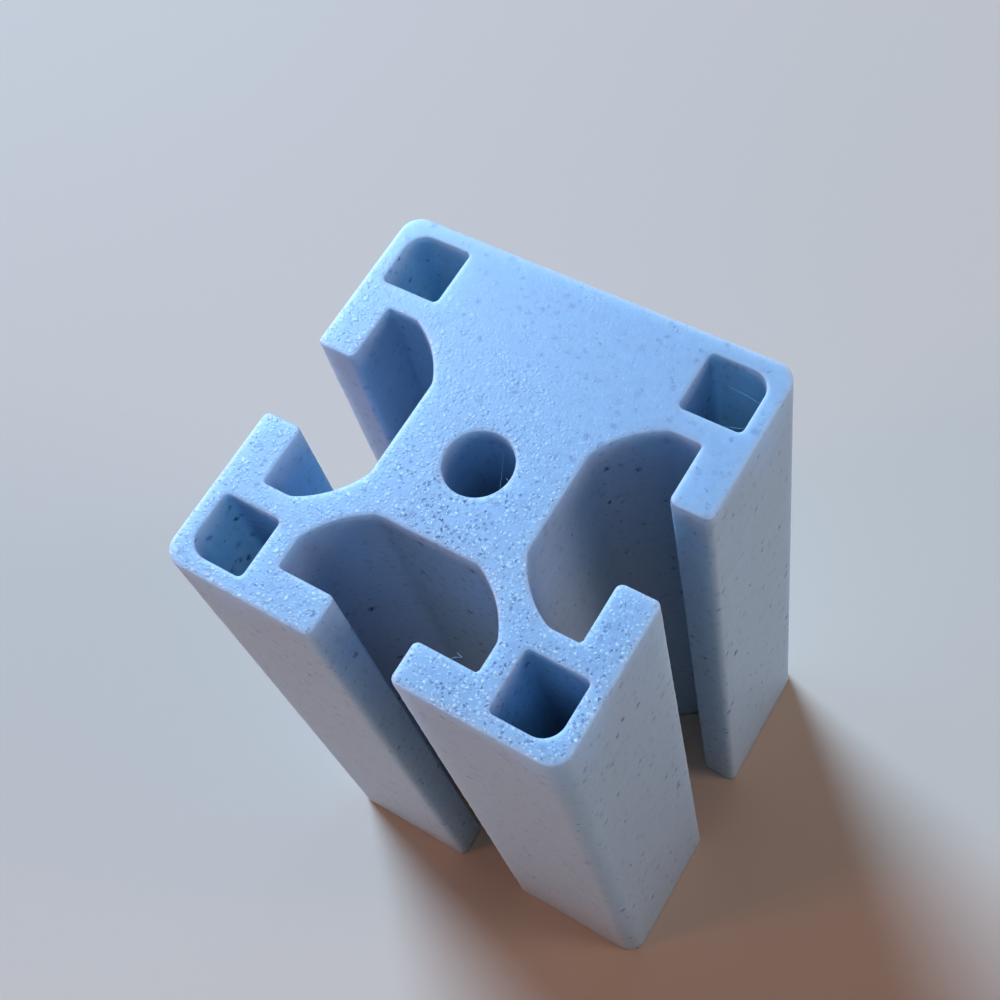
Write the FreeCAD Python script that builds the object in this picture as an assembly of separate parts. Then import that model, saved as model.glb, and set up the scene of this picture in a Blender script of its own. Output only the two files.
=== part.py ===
import FreeCAD, Part
import os
from math import sqrt

# A slotted construction profile with one closed side, as one short length of stock.
#
# The section lies in XY with its middle on the Z axis, and the length runs along +Z from
# the lower end. The closed side looks along +Y. Each of the other three sides has a T-slot:
# an opening between two lips, and behind them a cavity whose flanks bow into the diagonal
# webs. The middle has a round bore, and each corner block has a square cell.
# All sizes are in millimetres.

Vector = FreeCAD.Vector

# The blank: a square bar with rounded corners.
side = 40.0                   # across the flat sides
length = 70.0                 # from end to end
corner_radius = 2.0           # the four outer corners

# The T-slots.
slot_opening = 8.0            # between the two lips
lip_thickness = 4.0           # from the outer side to the back of the lip
lip_edge_radius = 0.6         # the two free corners of a lip
cavity_depth = 8.0            # from the back of the lips to the flat floor
cavity_corner_radius = 0.3    # where a lip meets the cavity's side wall
corner_block = 10.0           # from the outer side to the nearest wall of a cavity
web_thickness = 4.25          # diagonal web between two cavities, at the ends of their flanks
flank_radius = 10.0           # the bow of a flank into its web
flank_end_radius = 1.5        # where a flank meets the side wall and the floor

# The bore and the corner cells.
bore_diameter = 6.4
cell_outer_wall = 1.65        # between a cell and the outer side
cell_inner_wall = 2.35        # between a cell and the cavity beside it
cell_outer_radius = 2.0       # the cell's corner that faces the corner of the bar
cell_corner_radius = 0.5      # the cell's other three corners

# What a cutting solid stands out past the faces it has to break through.
overrun = 5.0

# Places in the section that follow from these sizes, as distances from the Z axis.
half_side = side / 2
half_opening = slot_opening / 2
lip_back = half_side - lip_thickness
cavity_floor = lip_back - cavity_depth
cavity_half_width = half_side - corner_block
cell_size = corner_block - cell_outer_wall - cell_inner_wall
cell_near = cavity_half_width + cell_inner_wall

# A flank runs at 45 degrees, so both its ends are this far from the section's diagonal,
# measured along a side of the bar.
web_step = web_thickness / sqrt(2)
flank_foot = cavity_floor - web_step
flank_top = cavity_half_width + web_step

# How far the middle of a flank stands off the straight line between its ends.
flank_run = cavity_half_width - flank_foot
half_chord = flank_run / sqrt(2)
flank_bow = flank_radius - sqrt(flank_radius ** 2 - half_chord ** 2)

QUARTER_TURN = 90.0
SLOTTED_SIDES = (0, 2, 3)     # quarter turns from +X; the side at one quarter turn is closed
CORNERS = (0, 1, 2, 3)        # quarter turns from the corner between +X and +Y


def turned(point, quarters):
    """The section point turned about the Z axis by a number of quarter turns."""
    turn = FreeCAD.Rotation(Vector(0, 0, 1), QUARTER_TURN * quarters)
    return turn.multVec(point)


def turned_solid(solid, quarters):
    """A copy of the solid turned about the Z axis by a number of quarter turns."""
    return solid.rotated(Vector(0, 0, 0), Vector(0, 0, 1), QUARTER_TURN * quarters)


def chain(points):
    """Straight edges that join the points in their order."""
    return [Part.makeLine(start, end) for start, end in zip(points, points[1:])]


def flank(hand):
    """The bowed edge of a cavity, from its side wall to its floor, on the side hand = 1 or -1."""
    top = Vector(flank_top, hand * cavity_half_width)
    foot = Vector(cavity_floor, hand * flank_foot)
    into_web = Vector(-1, hand).normalize()
    middle = (top + foot) / 2 + into_web * flank_bow
    return Part.Arc(top, middle, foot).toShape()


def slot_space():
    """The empty space of the T-slot in the +X side, standing out past the side and both ends."""
    edges = []
    for hand in (1, -1):
        edges += chain([
            Vector(half_side + overrun, hand * half_opening),
            Vector(lip_back, hand * half_opening),
            Vector(lip_back, hand * cavity_half_width),
            Vector(flank_top, hand * cavity_half_width),
        ])
        edges.append(flank(hand))
    edges += chain([Vector(cavity_floor, flank_foot), Vector(cavity_floor, -flank_foot)])
    edges += chain([Vector(half_side + overrun, half_opening), Vector(half_side + overrun, -half_opening)])
    section = Part.Face(Part.Wire(Part.__sortEdges__(edges)))
    section.translate(Vector(0, 0, -overrun))
    return section.extrude(Vector(0, 0, length + 2 * overrun))


def cell_space():
    """The square cell in the corner between +X and +Y, standing out past both ends."""
    start = Vector(cell_near, cell_near, -overrun)
    cell = Part.makeBox(cell_size, cell_size, length + 2 * overrun, start)
    cell_far = cell_near + cell_size
    cell = with_rounded_edges(cell, cell_outer_radius, [Vector(cell_far, cell_far)])
    return with_rounded_edges(cell, cell_corner_radius, [
        Vector(cell_near, cell_near),
        Vector(cell_far, cell_near),
        Vector(cell_near, cell_far),
    ])


def bore_space():
    """The round bore on the Z axis, standing out past both ends."""
    return Part.makeCylinder(bore_diameter / 2, length + 2 * overrun, Vector(0, 0, -overrun))


def with_rounded_edges(solid, radius, corners):
    """The solid with its lengthwise edges rounded at the given corners of the section."""
    def is_at_corner(edge):
        start, end = (vertex.Point for vertex in edge.Vertexes)
        foot = Vector(start.x, start.y)
        lengthwise = foot.isEqual(Vector(end.x, end.y), Part.Precision.confusion())
        return lengthwise and any(foot.isEqual(corner, Part.Precision.confusion()) for corner in corners)

    edges = [edge for edge in solid.Edges if len(edge.Vertexes) == 2 and is_at_corner(edge)]
    return solid.makeFillet(radius, edges)


def blank():
    """The square bar with its rounded outer corners."""
    bar = Part.makeBox(side, side, length, Vector(-half_side, -half_side, 0))
    corner = Vector(half_side, half_side)
    return with_rounded_edges(bar, corner_radius, [turned(corner, quarters) for quarters in CORNERS])


def lip_corners():
    """The free corners of every lip: one on the outer side and one at the lip's back."""
    return [
        turned(Vector(out, hand * half_opening), quarters)
        for quarters in SLOTTED_SIDES
        for hand in (1, -1)
        for out in (half_side, lip_back)
    ]


def cavity_corners():
    """The corners between the back of a lip and the side wall of its cavity."""
    return [
        turned(Vector(lip_back, hand * cavity_half_width), quarters)
        for quarters in SLOTTED_SIDES
        for hand in (1, -1)
    ]


def flank_ends():
    """The corners at both ends of every flank: one at the side wall and one at the floor."""
    return [
        turned(Vector(out, hand * across), quarters)
        for quarters in SLOTTED_SIDES
        for hand in (1, -1)
        for out, across in ((flank_top, cavity_half_width), (cavity_floor, flank_foot))
    ]


def profile():
    """The whole piece: the bar less its slots, cells and bore, with its lips and cavities rounded."""
    slots = [turned_solid(slot_space(), quarters) for quarters in SLOTTED_SIDES]
    cells = [turned_solid(cell_space(), quarters) for quarters in CORNERS]
    piece = blank().cut(slots + cells + [bore_space()])
    piece = with_rounded_edges(piece, lip_edge_radius, lip_corners())
    piece = with_rounded_edges(piece, cavity_corner_radius, cavity_corners())
    return with_rounded_edges(piece, flank_end_radius, flank_ends())


os.makedirs("parts", exist_ok=True)
solid = profile().Solids[0]
solid.exportStep("parts/profile.step")
print(f"profile: {solid.Volume / 1000:.2f} cm3, section {solid.Volume / length:.1f} mm2, valid {solid.isValid()}")
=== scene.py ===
# %% [markdown]
# # A construction profile, printed in stone-flecked plastic
#
# The object is one short length of slotted profile: a square bar with a T-slot in three of its
# sides, a round bore down the middle and a square cell in each corner. It was printed standing on
# end, in a pale blue plastic with dark flecks in it. The CAD model holds its shape and size.
# This lesson gives it the skin of a real print: the grain that the printing plate pressed into
# the end face, the soft edges, the layers on the sides, the flecks and a few stray hairs.
#
# The CAD model is loaded first and never moved. Everything below is measured from it.

# %% Load the frame
from math import ceil, cos, degrees, pi, radians, sin

import bmesh
import bpy
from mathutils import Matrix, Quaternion, Vector


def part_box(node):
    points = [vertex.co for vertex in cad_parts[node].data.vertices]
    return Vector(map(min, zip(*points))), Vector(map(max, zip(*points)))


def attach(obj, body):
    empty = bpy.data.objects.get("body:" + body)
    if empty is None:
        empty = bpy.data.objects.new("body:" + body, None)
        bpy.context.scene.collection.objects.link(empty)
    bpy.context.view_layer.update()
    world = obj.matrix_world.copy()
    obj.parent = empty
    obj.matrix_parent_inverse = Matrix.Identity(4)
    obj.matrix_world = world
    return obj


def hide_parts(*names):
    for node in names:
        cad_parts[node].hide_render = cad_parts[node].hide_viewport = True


MM = 0.001                                   # the scene is in metres, the maker thinks in millimetres

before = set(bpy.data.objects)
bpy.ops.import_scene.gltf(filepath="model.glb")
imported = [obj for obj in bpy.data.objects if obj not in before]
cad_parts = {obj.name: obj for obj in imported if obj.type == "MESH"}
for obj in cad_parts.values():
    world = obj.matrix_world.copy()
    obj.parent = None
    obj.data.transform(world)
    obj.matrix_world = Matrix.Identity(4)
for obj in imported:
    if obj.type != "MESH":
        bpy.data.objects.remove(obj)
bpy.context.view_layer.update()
low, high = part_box("profile")
length = high.z - low.z
print(f"the profile is {(high.x - low.x) / MM:.1f} mm square and {length / MM:.1f} mm long")

# %% [markdown]
# ## A short way to write node trees
#
# Shape trees and material trees are both graphs of nodes. Written out with the plain calls, a sum
# takes six lines. Two small classes make it read like a formula: `Wire` is one output socket
# that can be added and multiplied, and `Tree` adds any other node in one call, its settings first
# and then the values or wires of its inputs.

# %% Wires and trees
class Wire:
    """One output socket. Sums of wires and numbers add Math nodes, or Vector Math nodes on vectors."""

    def __init__(self, tree, socket):
        self.tree = tree
        self.socket = socket

    def combine(self, operation, *operands):
        threes = ("VECTOR", "RGBA")
        vectors = any(isinstance(wire, Wire) and wire.socket.type in threes for wire in operands)
        kind = "ShaderNodeVectorMath" if vectors else "ShaderNodeMath"
        return self.tree.add(kind, {"operation": operation}, dict(enumerate(operands)))

    def __add__(self, other):
        return self.combine("ADD", self, other)

    def __radd__(self, other):
        return self.combine("ADD", other, self)

    def __sub__(self, other):
        return self.combine("SUBTRACT", self, other)

    def __rsub__(self, other):
        return self.combine("SUBTRACT", other, self)

    def __mul__(self, other):
        return self.combine("MULTIPLY", self, other)

    def __rmul__(self, other):
        return self.combine("MULTIPLY", other, self)

    def __truediv__(self, other):
        return self.combine("DIVIDE", self, other)

    def __lt__(self, other):
        return self.combine("LESS_THAN", self, other)

    def __gt__(self, other):
        return self.combine("GREATER_THAN", self, other)

    def out(self, name):
        """Another output of the same node."""
        return Wire(self.tree, self.socket.node.outputs[name])


class Tree:
    """A shape tree or a material tree, with one method for every kind of node."""

    def __init__(self, tree):
        self.tree = tree

    def add(self, kind, settings=None, inputs=None, out=0):
        node = self.tree.nodes.new(kind)
        for name, value in (settings or {}).items():
            setattr(node, name, value)
        for key, value in (inputs or {}).items():
            self.plug(node.inputs[key], value)
        return Wire(self, node.outputs[out])

    def plug(self, socket, value):
        if isinstance(value, Wire):
            self.tree.links.new(value.socket, socket)
        elif socket.type == "VECTOR" and isinstance(value, (int, float)):
            socket.default_value = (value, value, value)
        else:
            socket.default_value = value


# %% [markdown]
# ## The outlines of the section
#
# The skin is a sweep: the outlines of the end face, carried along the length. They are read off
# the upper end of the CAD piece, so the two can never disagree. There are six: the outside with
# its three slots, the round bore and the four cells.
#
# Each boundary edge of the end face is walked with the material on its left, so "out of the
# material" is always to the right. The CAD piece has more points in its arcs than the skin needs,
# and none in its straight runs, where the skin has to be able to waver a little. So the points
# are evened out: close ones are dropped, and long runs are divided.

# %% Read the outlines off the upper end
FINEST = 0.28 * MM                           # points nearer than this are dropped
LONGEST = 1.5 * MM                           # runs longer than this are divided
SAME_PLACE = 0.001 * MM                      # points nearer than this are one point
FLAT_UP = 0.99                               # a face whose normal rises by more than this looks up


def end_outlines(cad_object, height):
    """The closed outlines of the flat end at that height, each with the material on its left."""
    mesh = bmesh.new()
    mesh.from_mesh(cad_object.data)
    bmesh.ops.remove_doubles(mesh, verts=mesh.verts, dist=SAME_PLACE)
    end_faces = {
        face for face in mesh.faces
        if face.normal.z > FLAT_UP and face.verts[0].co.z > height - MM
    }
    follows = {}
    for face in end_faces:
        for loop in face.loops:
            if not any(other in end_faces for other in loop.edge.link_faces if other is not face):
                follows[loop.vert.index] = loop.link_loop_next.vert
    places = {vertex.index: Vector(vertex.co.xy) for vertex in mesh.verts}
    outlines = []
    while follows:
        start = min(follows)
        outline, index = [], start
        while index in follows:
            outline.append(places[index])
            index = follows.pop(index).index
        outlines.append(outline)
    mesh.free()
    return outlines


def evened(outline):
    """The outline with close points dropped and long runs divided."""
    runs = [(outline[(i + 1) % len(outline)] - point).length for i, point in enumerate(outline)]
    first = (runs.index(max(runs)) + 1) % len(outline)
    outline = outline[first:] + outline[:first]
    kept = [outline[0]]
    for point, following in zip(outline[1:], outline[2:] + outline[:1]):
        if (point - kept[-1]).length > FINEST or (following - point).length > FINEST:
            kept.append(point)
    even = []
    for point, following in zip(kept, kept[1:] + kept[:1]):
        steps = ceil((following - point).length / LONGEST)
        even += [point.lerp(following, step / steps) for step in range(steps)]
    return even


outlines = [evened(outline) for outline in end_outlines(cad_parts["profile"], high.z)]
print("points in each outline:", [len(outline) for outline in outlines])

# %% [markdown]
# ## What each point of an outline knows
#
# The sweep has to push points in or out of the material: a little in at the soft end edges, a
# little to and fro where the print wavers. So each point keeps `outward`, the direction out of
# the material, made long enough at a corner that both runs beside it move by the same amount.
# It also keeps `lip`, which is 1 on the tight outside corners. Those are the free edges of the
# lips beside each slot, where a printer's path wavers most.

# %% Build the section
LIP_RADIUS = 0.6 * MM                        # of the free edges beside a slot's opening
LIP_BEND = 0.6 / LIP_RADIUS                  # a bend of more than 0.6 of theirs is taken for one of them


def right_of(direction):
    return Vector((direction.y, -direction.x))


def section_object(outlines):
    """A mesh of the outlines alone, with the attributes that the sweep reads."""
    points, edges, outward, lip = [], [], [], []
    for outline in outlines:
        first, count = len(points), len(outline)
        for i, point in enumerate(outline):
            before, after = outline[i - 1], outline[(i + 1) % count]
            into, onward = (point - before).normalized(), (after - point).normalized()
            right, bend = right_of(into) + right_of(onward), into.cross(onward)
            reach = ((point - before).length + (after - point).length) / 2
            points.append((*point, 0))
            edges.append((first + i, first + (i + 1) % count))
            outward.append((*(right * 2 / right.length_squared), 0))
            lip.append(1.0 if bend / reach > LIP_BEND else 0.0)
    mesh = bpy.data.meshes.new("section")
    mesh.from_pydata(points, edges, [])
    mesh.attributes.new("outward", "FLOAT_VECTOR", "POINT").data.foreach_set(
        "vector", [value for vector in outward for value in vector])
    mesh.attributes.new("lip", "FLOAT", "POINT").data.foreach_set("value", lip)
    return bpy.data.objects.new("section", mesh)


section = section_object(outlines)
bpy.context.scene.collection.objects.link(section)
print("points in the section:", len(section.data.vertices))

# %% [markdown]
# ## The skin, swept by a node tree
#
# A sweep could be written as two loops in Python. Geometry Nodes say the same as a rule with
# named sizes, so the layer height or the softness of an edge can be changed in the modifier.
#
# The trick is a second curve, the walk. It is drawn in a plane where sideways is the distance
# into the end face and upwards is the height: in along the lower end face, round its soft edge,
# up the wall, round the upper edge and in again. The outline is swept along the walk, and each
# point of the skin then goes to its place: its point of the outline, moved into the material by
# the walk's sideways part and up by its height.

# %% Shape trees
def shape_tree(name, sizes):
    """A new tree of shapes, and its inputs as wires: the geometry that it starts from and its sizes."""
    group = bpy.data.node_groups.new(name, "GeometryNodeTree")
    for socket, kind in {"Geometry": "Geometry", **sizes}.items():
        group.interface.new_socket(socket, in_out="INPUT", socket_type="NodeSocket" + kind)
    group.interface.new_socket("Geometry", in_out="OUTPUT", socket_type="NodeSocketGeometry")
    tree, node = Tree(group), group.nodes.new("NodeGroupInput")
    return tree, {socket: Wire(tree, node.outputs[socket]) for socket in ("Geometry", *sizes)}


def put_out(tree, shape, material):
    """The end of every shape tree: instances made real, the material set, and the result put out."""
    real = tree.add("GeometryNodeRealizeInstances", {}, {"Geometry": shape})
    finished = tree.add("GeometryNodeSetMaterial", {}, {"Geometry": real, "Material": material})
    tree.plug(tree.tree.nodes.new("NodeGroupOutput").inputs["Geometry"], finished)
    return tree.tree


# %% The walk over the edges
EDGE_STEPS = 3                               # flats round each soft edge


def xyz(tree, x=0.0, y=0.0, z=0.0):
    return tree.add("ShaderNodeCombineXYZ", {}, {"X": x, "Y": y, "Z": z})


def named(tree, name, kind="FLOAT"):
    return tree.add("GeometryNodeInputNamedAttribute", {"data_type": kind}, {"Name": name})


def stored(tree, geometry, name, value, kind="FLOAT"):
    settings = {"data_type": kind, "domain": "POINT"}
    inputs = {"Geometry": geometry, "Name": name, "Value": value}
    return tree.add("GeometryNodeStoreNamedAttribute", settings, inputs)


def walk_curve(tree, size):
    """The open line over both soft edges, with its place stored and its points laid in a row."""
    place = tree.add("GeometryNodeInputPosition")
    corners = tree.add("GeometryNodeCurvePrimitiveQuadrilateral", {"mode": "POINTS"}, {
        "Point 1": xyz(tree, x=size["Band"]),
        "Point 2": xyz(tree),
        "Point 3": xyz(tree, z=size["Length"]),
        "Point 4": xyz(tree, x=size["Band"], z=size["Length"]),
    })
    opened = tree.add("GeometryNodeSetSplineCyclic", {}, {"Geometry": corners, "Cyclic": False})
    rounded = tree.add("GeometryNodeFilletCurve", {"mode": "POLY"}, {
        "Curve": opened, "Count": EDGE_STEPS, "Radius": size["Edge"], "Limit Radius": True})
    index = tree.add("GeometryNodeInputIndex")
    next_place = tree.add("GeometryNodeFieldAtIndex", {"data_type": "FLOAT_VECTOR"}, {
        "Index": index + 1, "Value": place})
    run = tree.add("ShaderNodeVectorMath", {"operation": "DISTANCE"}, {0: place, 1: next_place}, "Value")
    divided = tree.add("GeometryNodeSubdivideCurve", {}, {"Curve": rounded, "Cuts": run / size["Row"]})
    kept = stored(tree, divided, "walk", place, "FLOAT_VECTOR")
    return tree.add("GeometryNodeSetPosition", {}, {"Geometry": kept, "Position": xyz(tree, z=index * MM)})


print(EDGE_STEPS, "steps round each soft edge")


# %% [markdown]
# The wall of a print is never quite flat. Three small movements are added, all of them along
# `outward` and all of them well under a tenth of a millimetre on the wide sides: every layer sits
# a touch in or out, the whole wall wavers slowly, and the lips' free edges waver more.

# %% The waver of the wall
SLOW, QUICK = 0.18, 0.75                     # waves to the millimetre
OTHER_SEED = 7                               # sets the quick waver apart from the slow one


def waver(tree, size):
    """How far each point of the wall stands out of its true place."""
    place = tree.add("GeometryNodeInputPosition") / MM
    height = tree.add("ShaderNodeSeparateXYZ", {}, {0: place}, "Z")
    layer = tree.add("ShaderNodeMath", {"operation": "FLOOR"}, {0: height / (size["Layer"] / MM)})
    step = tree.add("FunctionNodeRandomValue", {"data_type": "FLOAT"}, {
        "Min": -1.0, "Max": 1.0, "ID": layer, "Seed": size["Seed"]}, 1)
    slow = tree.add("ShaderNodeTexNoise", {"noise_dimensions": "4D"}, {
        "Vector": place, "W": size["Seed"], "Scale": SLOW, "Detail": 1.0}) - 0.5
    quick = tree.add("ShaderNodeTexNoise", {"noise_dimensions": "4D"}, {
        "Vector": place, "W": size["Seed"] + OTHER_SEED, "Scale": QUICK, "Detail": 2.0}) - 0.5
    lip = named(tree, "lip")
    return step * size["Layer step"] + slow * size["Waver"] + quick * lip * size["Lip waver"]


print(f"waves about {1 / SLOW:.1f} and {1 / QUICK:.1f} mm long")


# %% [markdown]
# The two flat ends are filled inside the walk's innermost ring, and everything is joined into one
# closed skin. Two values go with it for the finish to read: `end_face` is 1 on the flat ends, and
# `edge_band` fades from 1 at their outline to 0 where the walk stops.

# %% The sweep
SHARPEST = radians(40)                       # a fold of more than this is shaded as a sharp edge


def at_ring(tree, outline, size, height):
    """The outline moved in by the band, at that height."""
    inward = named(tree, "outward", "FLOAT_VECTOR") * size["Band"] * -1
    ring = tree.add("GeometryNodeSetPosition", {}, {"Geometry": outline, "Offset": inward})
    filled = tree.add("GeometryNodeFillCurve", {}, {"Curve": ring})
    lifted = tree.add("GeometryNodeTransform", {}, {"Geometry": filled, "Translation": xyz(tree, z=height)})
    return stored(tree, lifted, "end_face", 1.0)


def skin_tree(material):
    """Sweeps the outlines along the walk, fills both ends, and joins all of it into one closed skin."""
    tree, size = shape_tree("swept skin", {
        "Length": "Float", "Band": "Float", "Edge": "Float", "Row": "Float", "Layer": "Float",
        "Layer step": "Float", "Waver": "Float", "Lip waver": "Float", "Seed": "Int",
    })
    place = tree.add("GeometryNodeInputPosition")
    footed = stored(tree, size["Geometry"], "foot", place, "FLOAT_VECTOR")
    outline = tree.add("GeometryNodeMeshToCurve", {}, {"Mesh": footed})

    swept = tree.add("GeometryNodeCurveToMesh", {}, {
        "Curve": walk_curve(tree, size), "Profile Curve": outline})
    walk = tree.add("ShaderNodeSeparateXYZ", {}, {0: named(tree, "walk", "FLOAT_VECTOR")})
    inward, height = walk.out("X"), walk.out("Z")
    foot, outward = named(tree, "foot", "FLOAT_VECTOR"), named(tree, "outward", "FLOAT_VECTOR")
    skin = tree.add("GeometryNodeSetPosition", {}, {
        "Geometry": swept, "Position": foot - outward * inward + xyz(tree, z=height)})
    on_end = tree.add("ShaderNodeClamp", {}, {"Value": inward / size["Edge"]})
    skin = stored(tree, skin, "end_face", on_end)
    skin = stored(tree, skin, "edge_band", on_end * (1 - inward / size["Band"]))
    skin = tree.add("GeometryNodeSetPosition", {}, {
        "Geometry": skin, "Offset": outward * ((1 - named(tree, "end_face")) * waver(tree, size))})

    upper = at_ring(tree, outline, size, size["Length"])
    lower = tree.add("GeometryNodeFlipFaces", {}, {"Mesh": at_ring(tree, outline, size, 0.0)})
    joined = tree.add("GeometryNodeJoinGeometry")
    for part in (skin, upper, lower):
        tree.plug(joined.socket.node.inputs[0], part)
    closed = tree.add("GeometryNodeMergeByDistance", {}, {"Geometry": joined, "Distance": SAME_PLACE})
    fold = tree.add("GeometryNodeInputMeshEdgeAngle") > SHARPEST
    smooth = tree.add("GeometryNodeSetShadeSmooth", {"domain": "FACE"}, {"Geometry": closed})
    smooth = tree.add("GeometryNodeSetShadeSmooth", {"domain": "EDGE"}, {
        "Geometry": smooth, "Selection": fold, "Shade Smooth": False})
    return put_out(tree, smooth, material)


print(f"folds over {degrees(SHARPEST):.0f} degrees stay sharp")


# %% [markdown]
# ## The plastic
#
# The plastic is a pale, slightly greyed blue with dark flecks mixed through it, so the flecks
# lie at random in the whole volume and the surface cuts through some of them. A pattern in three
# dimensions does the same: a Voronoi texture scatters one point in each of its cells, and what
# lies within a small, random radius of a point is fleck. Nothing has to line up at an edge,
# because the pattern is cut there just as the flecks are.
#
# The same scatter, with other sizes, also makes the bumps and hollows of the end face. All
# patterns read Object coordinates, turned into millimetres, so every size below is a real one.

# %% Helpers for the finish
def solid(colour):
    return colour if isinstance(colour, Wire) else (*colour, 1.0)


def blend(tree, colour, other, amount):
    """The colour, turned into the other by that amount."""
    return tree.add("ShaderNodeMix", {"data_type": "RGBA"}, {
        "Factor": amount, 6: solid(colour), 7: solid(other)}, 2)


def ramp_down(tree, value, start, end):
    """1 where the value is under start, 0 where it is over end, and smooth between."""
    return tree.add("ShaderNodeMapRange", {"interpolation_type": "SMOOTHSTEP"}, {
        "Value": value, "From Min": start, "From Max": end, "To Min": 1.0, "To Max": 0.0})


def noise(tree, place, size, detail=2.0, roughness=0.5):
    """Smooth noise around 0.5, whose lumps are about that many millimetres across."""
    return tree.add("ShaderNodeTexNoise", {}, {
        "Vector": place, "Scale": 1 / size, "Detail": detail, "Roughness": roughness})


def stirred(tree, place, size, reach):
    """The place, pushed to and fro in all three directions, so that round spots get ragged."""
    swirl = tree.add("ShaderNodeTexNoise", {}, {"Vector": place, "Scale": 1 / size, "Detail": 1.0}, "Color")
    return place + (swirl - 0.5) * reach


def scatter(tree, place, spacing, smallest, largest, share, softness):
    """Round spots at random: 1 inside a spot and 0 outside, and a random number for each spot."""
    cells = tree.add("ShaderNodeTexVoronoi", {}, {"Vector": place, "Scale": 1 / spacing})
    chance = tree.add("ShaderNodeSeparateColor", {}, {0: cells.out("Color")})
    there = chance.out("Red") < share
    radius = smallest + chance.out("Green") * (largest - smallest)
    spot = ramp_down(tree, cells * spacing, radius * (1 - softness), radius)
    return spot * there, chance.out("Blue")


# %% [markdown]
# ### The grain of the end face
#
# The upper end was the first layer of the print. It was pressed against a grained steel plate, so it
# is covered in fine bumps that catch the light and small hollows that hold a shadow. Towards the
# closed side the grain fades until the face is almost smooth, and on the left its bumps are broader
# and softer. The grain is height for the Bump node, and it is painted into the colour too: a paler
# blue on the bumps is a painted glint, and a dark blue in the hollows is painted shade.

# %% Body colours and the plate's grain
BLUE = (0.36, 0.53, 0.69)                    # the plastic itself
# The next colour is a painted glint: the paler blue that the tops of the grain's bumps are given.
PAINTED_GLINT = (0.74, 0.90, 1.0)                     # the tops of the grain's bumps


def shade(factor, red=1.0, blue=1.0):
    """The body colour, lighter or darker, and turned a little towards red or blue."""
    return BLUE[0] * factor * red, BLUE[1] * factor, BLUE[2] * factor * blue


def plate_grain(tree, place, where, left):
    """The grain pressed into an end: its bumps, its hollows and its height in millimetres."""
    uneven = 1 - ramp_down(tree, noise(tree, place, size=2.5), 0.38, 0.58) * 0.5
    fine = where * uneven * (1 - left * 0.6)
    ragged = stirred(tree, place, size=0.7, reach=0.5)
    bumps, bright = scatter(tree, ragged + 5.1,
        spacing=0.36, smallest=0.09, largest=0.26, share=0.95, softness=0.7)
    broad, high = scatter(tree, ragged + 63.4,
        spacing=0.80, smallest=0.14, largest=0.38, share=0.75, softness=0.9)
    bumps = bumps * (0.3 + bright * 0.8) * fine + broad * (0.2 + high * 0.7) * where * left
    hollows, deep = scatter(tree, ragged + 29.7,
        spacing=0.42, smallest=0.07, largest=0.24, share=0.85, softness=0.7)
    hollows = hollows * (0.45 + deep * 0.75) * fine
    soft = noise(tree, place, size=0.5, detail=1.0) * fine
    return bumps, hollows, bumps * 0.062 - hollows * 0.065 + soft * 0.018


print(f"body colour {BLUE}, from {shade(0.86)[1]:.2f} to {shade(1.12)[1]:.2f} in green")

# %% [markdown]
# ### The layers of the sides
#
# The sides are a stack of rounded beads of plastic, 0.2 mm high, and no two of them are alike. The
# skin already moves whole layers in and out. The beads' own round edges are finer than its rows, so
# they are left to the Bump node: a triangle wave along the height, with a random strength for each
# layer. The same random number gives some layers a slightly darker streak.

# %% Layers
LAYER = 0.2                                  # millimetres, the height of one layer
BEAD = 0.42                                  # millimetres, the width of the nozzle's bead


def layer_relief(tree, height):
    """The height of the layers' beads in millimetres, and a random number for each layer."""
    layer = height / LAYER
    bead = tree.add("ShaderNodeMath", {"operation": "PINGPONG"}, {0: layer, 1: 0.5})
    number = tree.add("ShaderNodeMath", {"operation": "FLOOR"}, {0: layer})
    streak = tree.add("ShaderNodeTexWhiteNoise", {"noise_dimensions": "1D"}, {"W": number})
    return bead * (0.4 + streak * 0.6) * 0.006, streak


print(f"{length / MM / LAYER:.0f} layers")

# %% [markdown]
# ### The flecks
#
# Three scatters make the flecks: small dark ones everywhere, larger ones that gather in loose
# groups, and wide faint ones that lie under the surface and only cloud it. The place is stirred
# first, so that none of them is a perfect ball. It is also squeezed a little along the height, and
# whatever is drawn in a squeezed place comes out longer, so the flecks stand a quarter taller.

# %% Flecks
FLECK = (0.022, 0.036, 0.155)                # a dark blue, almost black


def with_flecks(tree, colour, place, side, depth):
    """The colour with the plastic's flecks in it, fainter where the depth under the surface is more."""
    ragged = stirred(tree, place, size=0.31, reach=0.7) - place * (0.0, 0.0, 0.2)
    gathered = 1 - ramp_down(tree, noise(tree, place, size=4.0, detail=1.0), 0.40, 0.62)
    small, dark = scatter(tree, ragged,
        spacing=0.72, smallest=0.08, largest=0.21, share=0.65, softness=0.7)
    large, deep = scatter(tree, ragged + 17.3,
        spacing=1.6, smallest=0.24, largest=0.50, share=0.6, softness=0.75)
    faint, _ = scatter(tree, ragged + 41.9,
        spacing=1.1, smallest=0.20, largest=0.55, share=0.8, softness=0.9)
    colour = blend(tree, colour, shade(0.55, 1.08, 1.15), faint * (0.25 + gathered * 0.35 + depth * 0.35))
    colour = blend(tree, colour, FLECK, small * (0.4 + dark * 0.6) * (1 - side * 0.3) * (1 - depth))
    large = large * (0.35 + side * 0.65) * (0.4 + gathered * 0.6)
    return blend(tree, colour, FLECK, large * (0.4 + deep * 0.6) * (1 - depth))


print(f"fleck colour {FLECK}")
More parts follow.
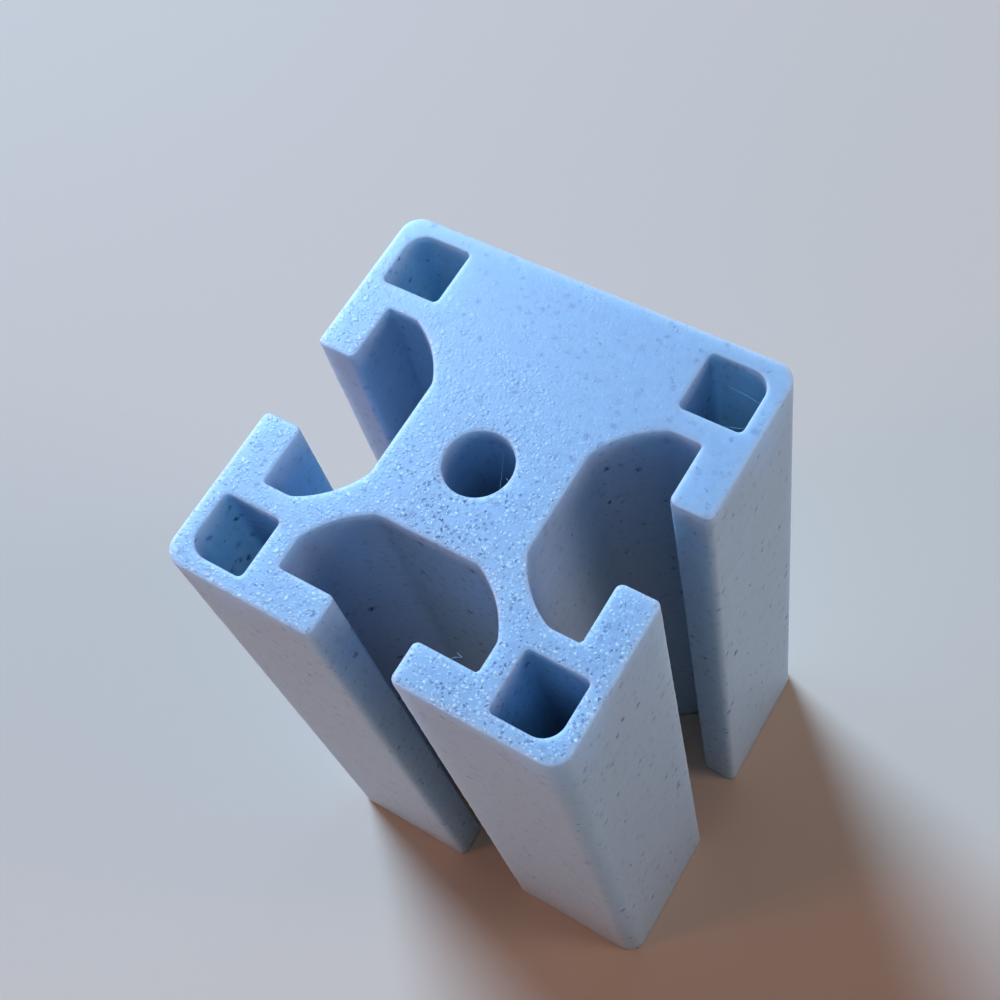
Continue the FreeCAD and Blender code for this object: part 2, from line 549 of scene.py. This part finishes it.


# %% [markdown]
# ### The whole finish
#
# One material covers the whole skin. It reads `end_face` and `edge_band` from the sweep, so it
# knows the ends, the sides and the soft edges between them: layers only on the sides, grain only on
# the upper end, and on the lower end the slanted raster of a last layer. The soft edges are a
# little paler, a painted highlight where the rounded edges catch the light.
#
# The walls round the cells are under 2 mm thick, and daylight comes through them, so the cells
# glow a little from inside. Subsurface scattering does that. Its values are the same for the whole
# piece, so they are set straight on the shader.

# %% Flecked plastic
# The next colour is a painted highlight: the paler blue that the soft edges turn towards.
PAINTED_EDGE_HIGHLIGHT = (0.52, 0.68, 0.86)                    # the colour that the soft edges turn towards


def flecked_plastic():
    """The plastic of the profile, and of the hairs that were drawn out of it."""
    material = bpy.data.materials.new("flecked_plastic")
    material.use_nodes = True
    tree = Tree(material.node_tree)
    shader = material.node_tree.nodes["Principled BSDF"]
    place = tree.add("ShaderNodeTexCoord", out="Object") / MM
    end_face = tree.add("ShaderNodeAttribute", {"attribute_name": "end_face"}, out="Fac")
    edge_band = tree.add("ShaderNodeAttribute", {"attribute_name": "edge_band"}, out="Fac")
    parts = tree.add("ShaderNodeSeparateXYZ", {}, {0: place})
    across, along, height = parts.out("X"), parts.out("Y"), parts.out("Z")
    halfway = length / MM / 2
    upper, lower = end_face * (height > halfway), end_face * (height < halfway)
    side = 1 - end_face

    # the body colour, a little uneven, and drawn out along the layers of the sides
    lines, streak = layer_relief(tree, height)
    mottled = noise(tree, place, size=0.9, detail=3.0)
    drawn = noise(tree, place * (0.12, 0.12, 1.5), size=1.1, detail=3.0, roughness=0.65)
    uneven = mottled * (1 - side * 0.5) + drawn * side * 0.65 + (streak - 0.5) * side * 0.12
    colour = blend(tree, shade(0.86), shade(1.12), uneven)
    colour = blend(tree, colour, shade(0.94, 1.06, 0.97), noise(tree, place, size=3.5, detail=2.0) * 0.5)

    # the grain, which fades towards the closed side and grows broader to the left
    inside = ramp_down(tree, edge_band, 0.55, 0.95)
    near = ramp_down(tree, along + across * 0.5, -7.0, 14.0)
    left = ramp_down(tree, across, -9.0, 0.0)
    bumps, hollows, grain = plate_grain(tree, place, inside * upper * (0.1 + near * 0.9), left)
    # painted glint: the bumps turn a paler blue, as if they caught the light
    colour = blend(tree, colour, PAINTED_GLINT, bumps)
    # painted shade: the hollows turn a dark blue, as if shadow lay in them
    colour = blend(tree, colour, shade(0.28, 0.7, 1.7), hollows)

    # the flecks, which lie a little deeper in the end towards the closed side
    colour = with_flecks(tree, colour, place, side, upper * ((1 - near) * 0.6 + left * 0.2))
    # painted highlight: the soft edges turn paler, as if they caught the light
    colour = blend(tree, colour, PAINTED_EDGE_HIGHLIGHT, edge_band * 0.35)
    tree.plug(shader.inputs["Base Color"], colour)

    # the relief, in millimetres: layers on the sides, grain above, the last layer's raster below
    soft = noise(tree, place, size=0.6) * 0.02
    slanted = (across + along) * cos(radians(45))
    raster = tree.add("ShaderNodeMath", {"operation": "PINGPONG"}, {0: slanted / BEAD, 1: 0.5}) * 0.04
    relief = (lines + soft) * side + grain + raster * lower
    normal = tree.add("ShaderNodeBump", {}, {"Height": relief, "Distance": MM, "Strength": 1.0})
    tree.plug(shader.inputs["Normal"], normal)
    tree.plug(shader.inputs["Roughness"], 0.50 - upper * inside * 0.12 - bumps * 0.12)
    shader.inputs["Subsurface Weight"].default_value = 0.8
    shader.inputs["Subsurface Radius"].default_value = (0.95, 1.0, 0.9)
    shader.inputs["Subsurface Scale"].default_value = 4.6 * MM
    return material


flecked = flecked_plastic()
print("nodes in the plastic:", len(flecked.node_tree.nodes))

# %% [markdown]
# ## From rule to plain mesh
#
# A finished piece is a plain mesh with no modifier, so that it can be exported as it is. The sizes
# go into the modifier before the object is first evaluated, the evaluated result is copied into a
# new mesh, and the source with its modifier is thrown away. The row length is the distance
# between two rings of the skin: fine enough for the waver, and short of 200,000 triangles.

# %% Sweep the skin and make it a plain mesh
def finished_mesh(source, name, group, values):
    """Runs the tree on the source with those sizes, and returns the result as a plain object."""
    modifier = source.modifiers.new("rule", "NODES")
    modifier.node_group = group
    for item in group.interface.items_tree:
        if item.in_out == "INPUT" and item.name in values:
            modifier[item.identifier] = values[item.name]
    bpy.context.view_layer.update()
    evaluated = source.evaluated_get(bpy.context.evaluated_depsgraph_get())
    mesh = bpy.data.meshes.new_from_object(evaluated)
    mesh.name = name
    bpy.data.objects.remove(source)
    piece = bpy.data.objects.new(name, mesh)
    bpy.context.scene.collection.objects.link(piece)
    return piece


profile = finished_mesh(section, "profile_skin", skin_tree(flecked), {
    "Length": length,
    "Band": BEAD * MM,
    "Edge": 0.12 * MM,
    "Row": 0.45 * MM,
    "Layer": LAYER * MM,
    "Layer step": 0.006 * MM,
    "Waver": 0.05 * MM,
    "Lip waver": 0.12 * MM,
    "Seed": 5,
})
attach(profile, "root")
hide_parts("profile")
print("faces in the skin:", len(profile.data.polygons))

# %% [markdown]
# ## Stray hairs
#
# When the nozzle crosses a gap it can draw a hair of plastic after it. A few such hairs are left on
# the upper end: one across the bore, one inside a corner cell, one that cuts that cell's corner, and
# short ends that curl off an edge. Each is written as the few places it passes, in millimetres. A
# shape tree bends a smooth curve through them and gives it a round section that thins at its ends.

# %% Hairs
HAIR_SIDES = 8                               # a hair is far too thin to need more
HAIRS = {                                    # for each hair its thickness and the places it passes
    "across the bore": (0.022, [
        (-0.2, 3.3, 66.4), (1.2, 1.3, 67.8), (2.3, -0.55, 68.7), (2.95, -1.6, 69.1)]),
    "end in the bore": (0.05, [
        (3.3, -0.2, 69.5), (3.05, -0.15, 69.65), (2.75, 0.05, 69.65)]),
    "across the cell": (0.034, [
        (12.2, 17.9, 66.4), (14.2, 17.1, 67.85), (16.2, 16.4, 69.0), (18.5, 15.7, 69.7)]),
    "over the cell's corner": (0.035, [
        (16.2, 12.2, 69.75), (17.2, 12.6, 69.8), (17.95, 12.85, 69.8), (18.5, 13.3, 69.7)]),
    "curl on the lip": (0.045, [
        (7.25, -16.15, 69.8), (7.7, -15.7, 69.9), (8.0, -15.55, 69.9),
        (8.15, -15.42, 69.85), (7.85, -15.38, 69.85), (7.55, -15.25, 69.8)]),
}


def hair_lines(hairs):
    """A mesh of bare edges that join the places of each hair, with its thickness on every point."""
    points, edges, thickness = [], [], []
    for thick, places in hairs:
        edges += [(len(points) + i, len(points) + i + 1) for i in range(len(places) - 1)]
        points += [Vector(place) * MM for place in places]
        thickness += [thick * MM] * len(places)
    mesh = bpy.data.meshes.new("hair_lines")
    mesh.from_pydata(points, edges, [])
    mesh.attributes.new("thickness", "FLOAT", "POINT").data.foreach_set("value", thickness)
    lines = bpy.data.objects.new("hair_lines", mesh)
    bpy.context.scene.collection.objects.link(lines)
    return lines


def hair_tree(material):
    """A smooth round hair through the points of each line, thinner at both ends."""
    tree, size = shape_tree("hairs", {"Step": "Float", "Taper": "Float"})
    line = tree.add("GeometryNodeMeshToCurve", {}, {"Mesh": size["Geometry"]})
    smooth = tree.add("GeometryNodeCurveSplineType", {"spline_type": "CATMULL_ROM"}, {"Curve": line})
    even = tree.add("GeometryNodeResampleCurve", {"mode": "LENGTH"}, {
        "Curve": smooth, "Length": size["Step"]})
    along = tree.add("GeometryNodeSplineParameter")
    to_end = tree.add("ShaderNodeMath", {"operation": "MINIMUM"}, {0: along, 1: 1 - along})
    thickness = named(tree, "thickness") * (1 - ramp_down(tree, to_end, 0.0, size["Taper"]) * 0.5)
    section = tree.add("GeometryNodeCurvePrimitiveCircle", {}, {"Resolution": HAIR_SIDES, "Radius": 0.5})
    hair = tree.add("GeometryNodeCurveToMesh", {}, {
        "Curve": even, "Profile Curve": section, "Scale": thickness, "Fill Caps": True})
    return put_out(tree, hair, material)


hairs = finished_mesh(hair_lines(HAIRS.values()), "stray_hairs", hair_tree(flecked), {
    "Step": 0.12 * MM,
    "Taper": 0.3,
})
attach(hairs, "root")
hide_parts("profile")
print(f"{len(HAIRS)} hairs, {len(hairs.data.polygons)} faces")

# %% [markdown]
# ## The floor and the backdrop
#
# The piece stands on a plain, pale, warm floor that catches its shadow. Far from the piece the
# floor gets darker and would end in a hard line. So its colour fades into the backdrop's colour
# there. The backdrop shows to the camera, in reflections and through glass, as a real one would,
# but it throws no plain light on the piece: that comes from the lamps and a weak light all around.

# %% Floor and world
BACKDROP = (0.80, 0.79, 0.78)
FLOOR_PAINT = (0.80, 0.62, 0.46)
AMBIENT = (0.07, 0.065, 0.075)               # the light that comes from all around
HALF_FLOOR = 3.0                             # metres
FADE_START, FADE_END = 0.2, 0.8              # metres from the piece, where the floor turns into backdrop


def shows_backdrop(tree):
    """1 on a ray that shows the backdrop: the camera's own, or one from a reflection or through glass."""
    shown = tree.add("ShaderNodeLightPath", out="Is Camera Ray")
    for kind in ("Glossy", "Transmission"):
        other = tree.add("ShaderNodeLightPath", out=f"Is {kind} Ray")
        shown = tree.add("ShaderNodeMath", {"operation": "MAXIMUM"}, {0: shown, 1: other})
    return shown


def floor_finish():
    """Matt paint near the piece, which fades into the backdrop far from it."""
    material = bpy.data.materials.new("floor_paint")
    material.use_nodes = True
    tree = Tree(material.node_tree)
    paint = material.node_tree.nodes["Principled BSDF"]
    paint.inputs["Base Color"].default_value = solid(FLOOR_PAINT)
    paint.inputs["Roughness"].default_value = 0.7
    glow = tree.add("ShaderNodeEmission", {}, {"Color": solid(BACKDROP), "Strength": 1.0})
    place = tree.add("ShaderNodeTexCoord", out="Object")
    distance = tree.add("ShaderNodeVectorMath", {"operation": "LENGTH"}, {0: place}, "Value")
    far = 1 - ramp_down(tree, distance, FADE_START, FADE_END)
    mixed = tree.add("ShaderNodeMixShader", {}, {
        0: far * shows_backdrop(tree), 1: Wire(tree, paint.outputs["BSDF"]), 2: glow})
    tree.plug(material.node_tree.nodes["Material Output"].inputs["Surface"], mixed)
    return material


floor_mesh = bpy.data.meshes.new("floor")
corners = [(-1, -1), (1, -1), (1, 1), (-1, 1)]
floor_mesh.from_pydata([(x * HALF_FLOOR, y * HALF_FLOOR, 0) for x, y in corners], [], [(0, 1, 2, 3)])
floor_mesh.materials.append(floor_finish())
floor = bpy.data.objects.new("floor", floor_mesh)
bpy.context.scene.collection.objects.link(floor)

world = bpy.data.worlds.new("studio")
bpy.context.scene.world = world
world.use_nodes = True
studio = Tree(world.node_tree)
background = world.node_tree.nodes["Background"]
studio.plug(background.inputs["Color"], blend(studio, AMBIENT, BACKDROP, shows_backdrop(studio)))
background.inputs["Strength"].default_value = 1.0
print(f"floor {2 * HALF_FLOOR:.0f} m square")

# %% [markdown]
# ## The lamps
#
# The light is that of a desk by a window. Cool daylight comes from the left and behind, over the
# closed side, and lights the end face. The two near sides are in its shade and get only the weak,
# warm light that the desk and the room throw back. A lamp's level is written as the light on a
# surface that faces it, so the levels can be added up and kept near 1, where a colour looks as it
# is written.

# %% Lamps
middle = Vector((0, 0, length / 2))


def towards(azimuth, elevation):
    """The direction to a lamp or camera: azimuth 0 is in front of the -Y side, 90 is off the +X side."""
    return Vector((sin(azimuth) * cos(elevation), -cos(azimuth) * cos(elevation), sin(elevation)))


def soft_lamp(name, azimuth, elevation, distance, width, level, colour):
    """A round softbox, aimed at the middle of the piece, that lights a surface facing it to that level."""
    data = bpy.data.lights.new(name, "AREA")
    data.shape = "DISK"
    data.size = width
    data.color = colour
    data.energy = level * (pi * distance) ** 2
    lamp = bpy.data.objects.new(name, data)
    bpy.context.scene.collection.objects.link(lamp)
    lamp.location = middle + towards(azimuth, elevation) * distance
    lamp.rotation_mode = "QUATERNION"
    lamp.rotation_quaternion = towards(azimuth, elevation).to_track_quat("Z", "Y")


soft_lamp("window", radians(-120), radians(44), 2.4, 1.08, 1.52, (0.375, 0.63, 1.0))
soft_lamp("desk", radians(-42), radians(9), 0.9, 0.25, 0.28, (1.0, 0.36, 0.21))
soft_lamp("room", radians(110), radians(18), 0.9, 0.4, 0.25, (1.0, 0.74, 0.71))
print(len(bpy.data.lights), "lamps")

# %% [markdown]
# ## The camera
#
# The camera is close above the front corner and looks down on the end face, so the sides run
# together towards the floor. It is given as a direction from the point it aims at, a distance, and
# a roll about its own axis, which sets the piece askew in the frame.

# %% Camera
aim = Vector((4.0 * MM, -2.9 * MM, high.z))
azimuth, elevation, roll = radians(49.0), radians(61.0), radians(19.5)
distance = 123.8 * MM
camera_data = bpy.data.cameras.new("camera")
camera_data.lens = 53.74
camera_data.sensor_width = 36.0
camera_data.shift_y = 0.01
camera_data.clip_start = 0.01
camera = bpy.data.objects.new("camera", camera_data)
camera.location = aim + towards(azimuth, elevation) * distance
camera.rotation_mode = "QUATERNION"
turn = Quaternion((0, 0, 1), -roll)
camera.rotation_quaternion = towards(azimuth, elevation).to_track_quat("Z", "Y") @ turn
bpy.context.scene.collection.objects.link(camera)
bpy.context.scene.camera = camera
bpy.context.scene.view_settings.view_transform = "Standard"
print(f"camera {camera.location.z / MM:.0f} mm above the floor")

# %% [markdown]
# ## Last checks
#
# A skin is closed when each of its edges has exactly two faces, and its faces point outwards when
# its volume comes out positive. The profile's volume should be that of the CAD piece, whose volume is not
# worked out here.

# %% Check the skins
for piece in (profile, hairs):
    skin = bmesh.new()
    skin.from_mesh(piece.data)
    open_edges = sum(len(edge.link_faces) != 2 for edge in skin.edges)
    triangles = sum(len(face.verts) - 2 for face in skin.faces)
    volume = skin.calc_volume(signed=True) / MM ** 3
    skin.free()
    print(f"{piece.name}: {triangles} triangles, {open_edges} open edges, {volume:.2f} cubic mm")
